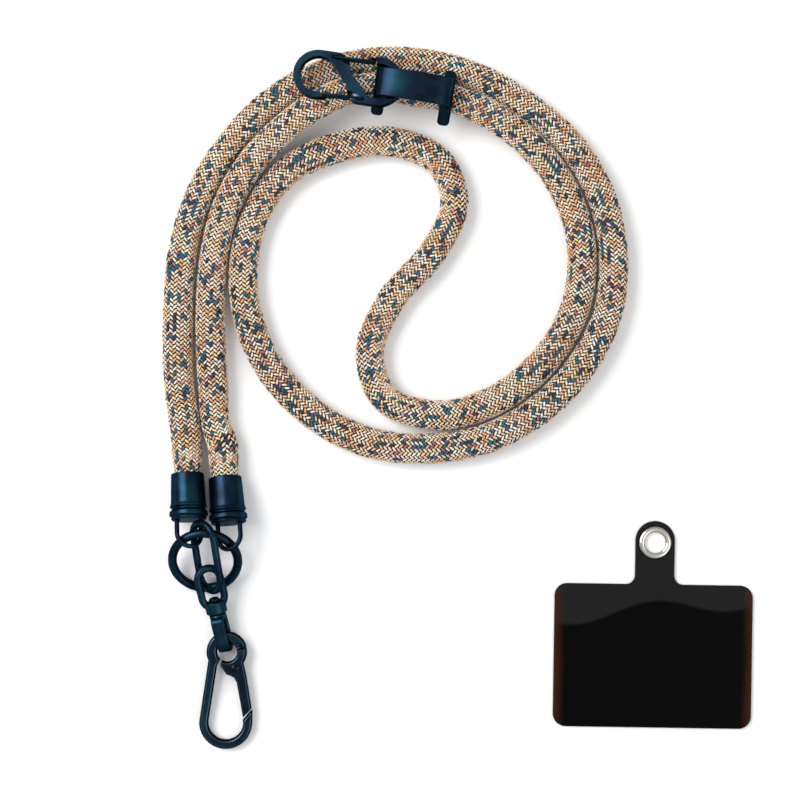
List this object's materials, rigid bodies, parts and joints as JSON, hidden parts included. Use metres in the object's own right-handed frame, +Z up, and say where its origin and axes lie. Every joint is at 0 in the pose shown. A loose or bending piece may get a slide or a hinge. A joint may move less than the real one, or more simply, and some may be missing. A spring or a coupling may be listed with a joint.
{
  "type": "phone crossbody strap",
  "caption": "Braided cord strap with black end caps, ring, swivel hook, slider and double clip, beside a smoky phone-case pad with an eyelet tongue.",
  "frame": {"origin": "centre of the object's outline on the surface it lies on, at its lowest level", "axes": "+Z up from the surface; +Y from the hook towards the slider, the object's longest side; +X towards the pad's side"},
  "size_m": [0.185, 0.2198, 0.023],
  "materials": {
    "black_metal": "satin blue-black plated metal",
    "braided_cord": "many-coloured herringbone braid",
    "smoky_film": "smooth, smoky, nearly black",
    "bright_chrome": "polished"
  },
  "bodies": {
    "strap": {"rope": "braided_cord", "cap_left": "black_metal", "cap_right": "black_metal", "bail_left": "black_metal", "bail_right": "black_metal", "o_ring": "black_metal", "link": "black_metal", "swivel_eye": "black_metal", "slider": "black_metal", "s_clip_body": "black_metal", "phone_pad": "smoky_film", "grommet": "bright_chrome"},
    "hook": {"swivel_loop": "black_metal", "hook_body": "black_metal", "hook_rivet": "black_metal"},
    "hook_gate": {"hook_gate": "black_metal"},
    "clip_gate_left": {"s_clip_gate_left": "black_metal"},
    "clip_gate_right": {"s_clip_gate_right": "black_metal"}
  },
  "joints": [
    {"name": "swivel_turn", "type": "hinge", "parent": "strap", "child": "hook", "pos_m": [-0.07672, -0.06389, 0.006], "axis": [0.2222, -0.9624, -0.1564], "continuous": true},
    {"name": "hook_gate_hinge", "type": "hinge", "parent": "hook", "child": "hook_gate", "pos_m": [-0.07076, -0.08309, 0.00366], "axis": [0, -0.0785, 0.9969], "range_deg": [-20, 0], "stiffness_Nm_per_rad": 0.01, "springref_deg": 8.59},
    {"name": "clip_gate_left_hinge", "type": "hinge", "parent": "strap", "child": "clip_gate_left", "pos_m": [-0.03068, 0.09301, 0.01797], "axis": [-0.0773, 0.1736, 0.9818], "range_deg": [-15, 0], "stiffness_Nm_per_rad": 0.005, "springref_deg": 8.59},
    {"name": "clip_gate_right_hinge", "type": "hinge", "parent": "strap", "child": "clip_gate_right", "pos_m": [-0.03947, 0.10631, 0.01493], "axis": [-0.0773, 0.1736, 0.9818], "range_deg": [-15, 0], "stiffness_Nm_per_rad": 0.005, "springref_deg": 8.59}
  ]
}
